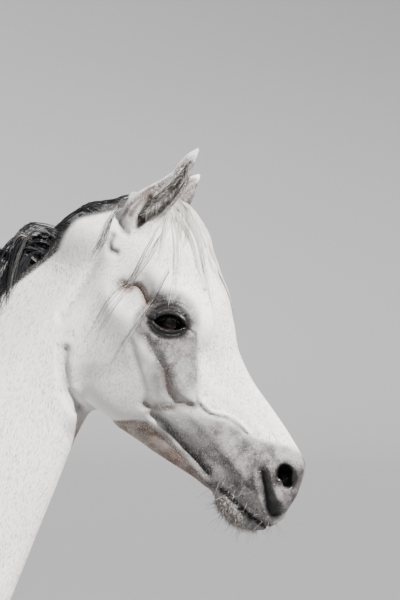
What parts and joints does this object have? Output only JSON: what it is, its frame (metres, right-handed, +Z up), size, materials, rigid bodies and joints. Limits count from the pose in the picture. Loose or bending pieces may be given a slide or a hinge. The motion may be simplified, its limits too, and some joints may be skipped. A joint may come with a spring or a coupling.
{
  "type": "horse",
  "caption": "Life-size still model of a grey Arabian horse standing square-on with its head turned slightly to its right, whole body with mane and tail.",
  "frame": {"origin": "on the floor under the middle of the whole horse", "axes": "+X forward, the way the body faces, +Y to the horse's left, +Z up"},
  "size_m": [2.1876, 0.5302, 1.9834],
  "materials": {
    "coat": "short flat white-grey hair",
    "grey_skin": "thin haired dark skin",
    "dark_hair": "long straight dark grey hair with white strands",
    "pale_hair": "long straight off-white hair",
    "horn": "satin dark horn",
    "eye": "wet gloss"
  },
  "bodies": {
    "root": {"head": "coat", "neck": "coat", "trunk": "coat", "foreleg_right_upper": "coat", "foreleg_right_lower": "coat", "foreleg_left_upper": "coat", "foreleg_left_lower": "coat", "hindleg_right_upper": "coat", "hindleg_right_lower": "coat", "hindleg_left_upper": "coat", "hindleg_left_lower": "coat", "ear_right": "grey_skin", "ear_left": "grey_skin", "eye_right": "eye", "eye_left": "eye", "fore_hoof_right": "horn", "fore_hoof_left": "horn", "hind_hoof_right": "horn", "hind_hoof_left": "horn", "mane": "dark_hair", "tail": "dark_hair", "forelock": "pale_hair"}
  },
  "joints": []
}
